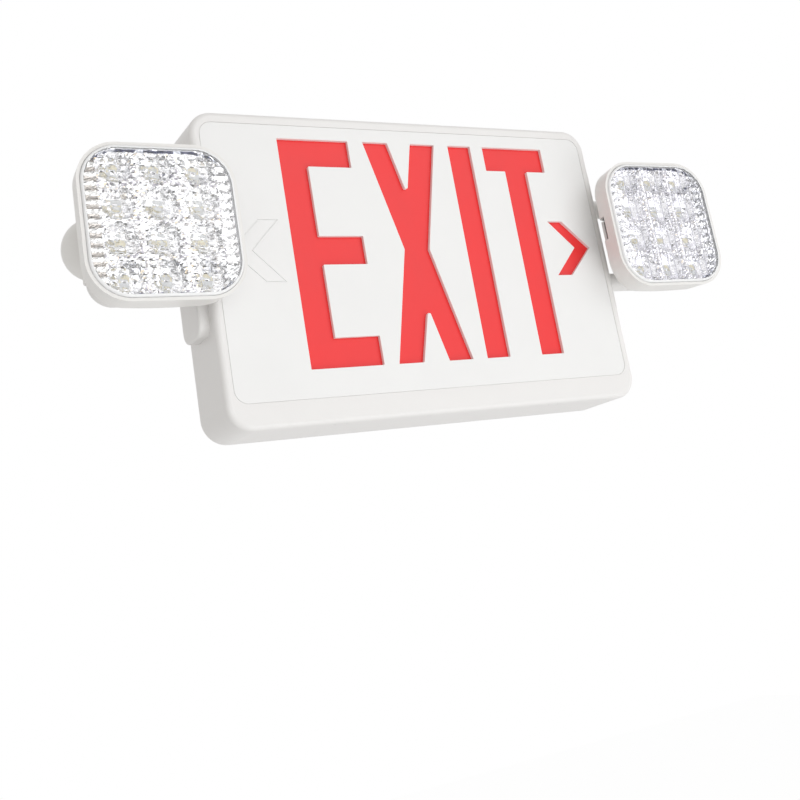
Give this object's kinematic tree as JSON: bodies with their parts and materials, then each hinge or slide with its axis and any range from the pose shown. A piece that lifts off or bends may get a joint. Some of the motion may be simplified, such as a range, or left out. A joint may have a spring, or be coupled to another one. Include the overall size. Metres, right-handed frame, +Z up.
{
  "type": "emergency exit light",
  "caption": "Wall-mounted exit sign box with a lettered face over a red panel and two square adjustable lamp heads on twin-tube side arms.",
  "frame": {"origin": "centre of the flat back face, which lies against the wall", "axes": "+X to the reader's right, +Y into the wall, +Z up; the face looks along -Y"},
  "size_m": [0.4716, 0.0769, 0.203],
  "materials": {
    "white_plastic": "satin moulded",
    "face_plastic": "smooth satin",
    "red_diffuser": "translucent satin",
    "clear_lens": "clear polished",
    "mirror_coat": "metallised, mirror bright",
    "led": "yellow phosphor",
    "circuit_board": "green solder mask",
    "white_board": "white solder mask",
    "screw_steel": "zinc plated",
    "core_steel": "varnished laminations",
    "can_metal": "printed sleeve over aluminium",
    "cell_sleeve": "shrink sleeve over metal cells",
    "dark_plastic": "moulded",
    "green_plastic": "moulded",
    "button_plastic": "moulded"
  },
  "bodies": {
    "sign": {"housing": "white_plastic", "back_cover": "white_plastic", "stencil_face": "face_plastic", "diffuser": "red_diffuser", "sign_led_strip_upper": "white_board", "sign_led_strip_lower": "white_board", "sign_leds": "led", "driver_board": "circuit_board", "driver_screws": "screw_steel", "transformer": "core_steel", "capacitors": "can_metal", "terminal_block": "green_plastic", "battery_pack": "cell_sleeve", "battery_strap": "white_plastic", "switch_board": "circuit_board", "switch_case": "dark_plastic", "left_side_pad": "white_plastic", "left_pad_screws": "screw_steel", "left_arm_upper": "white_plastic", "left_arm_lower": "white_plastic", "right_side_pad": "white_plastic", "right_pad_screws": "screw_steel", "right_arm_upper": "white_plastic", "right_arm_lower": "white_plastic"},
    "left_ball": {"left_ball_outer": "white_plastic", "left_ball_inner": "white_plastic"},
    "left_carrier": {"left_carrier": "white_plastic", "left_keeper_plate": "white_plastic"},
    "left_head": {"left_head_shell": "white_plastic", "left_reflector": "mirror_coat", "left_lamp_board": "white_board", "left_leds": "led", "left_lens": "clear_lens", "left_lamp_screws": "screw_steel"},
    "right_ball": {"right_ball_outer": "white_plastic", "right_ball_inner": "white_plastic"},
    "right_carrier": {"right_carrier": "white_plastic", "right_keeper_plate": "white_plastic"},
    "right_head": {"right_head_shell": "white_plastic", "right_reflector": "mirror_coat", "right_lamp_board": "white_board", "right_leds": "led", "right_lens": "clear_lens", "right_lamp_screws": "screw_steel"},
    "test_button": {"test_button": "button_plastic", "switch_plunger": "dark_plastic"}
  },
  "joints": [
    {"name": "left_ball_yaw", "type": "hinge", "parent": "sign", "child": "left_ball", "pos_m": [-0.214, -0.023, 0.0185], "axis": [0, 0, 1], "range_deg": [-62, 3]},
    {"name": "left_neck_spin", "type": "hinge", "parent": "left_ball", "child": "left_carrier", "pos_m": [-0.214, -0.023, 0.0185], "axis": [0.225, -0.9744, 0], "range_deg": [-13, 13]},
    {"name": "left_head_travel", "type": "hinge", "parent": "left_carrier", "child": "left_head", "pos_m": [-0.18676, -0.141, 0.0185], "axis": [0, 0, 1], "range_deg": [-9.8, 35.2]},
    {"name": "right_ball_yaw", "type": "hinge", "parent": "sign", "child": "right_ball", "pos_m": [0.214, -0.023, 0.0185], "axis": [0, 0, 1], "range_deg": [-3, 62]},
    {"name": "right_neck_spin", "type": "hinge", "parent": "right_ball", "child": "right_carrier", "pos_m": [0.214, -0.023, 0.0185], "axis": [-0.213, -0.977, 0], "range_deg": [-13, 13]},
    {"name": "right_head_travel", "type": "hinge", "parent": "right_carrier", "child": "right_head", "pos_m": [0.1882, -0.14132, 0.0185], "axis": [0, 0, 1], "range_deg": [-33.7, 11.3]},
    {"name": "test_button_press", "type": "slide", "parent": "sign", "child": "test_button", "axis": [-1, 0, 0], "range_m": [0, 0.0015], "stiffness_N_per_m": 600, "springref_m": -0.0008}
  ]
}
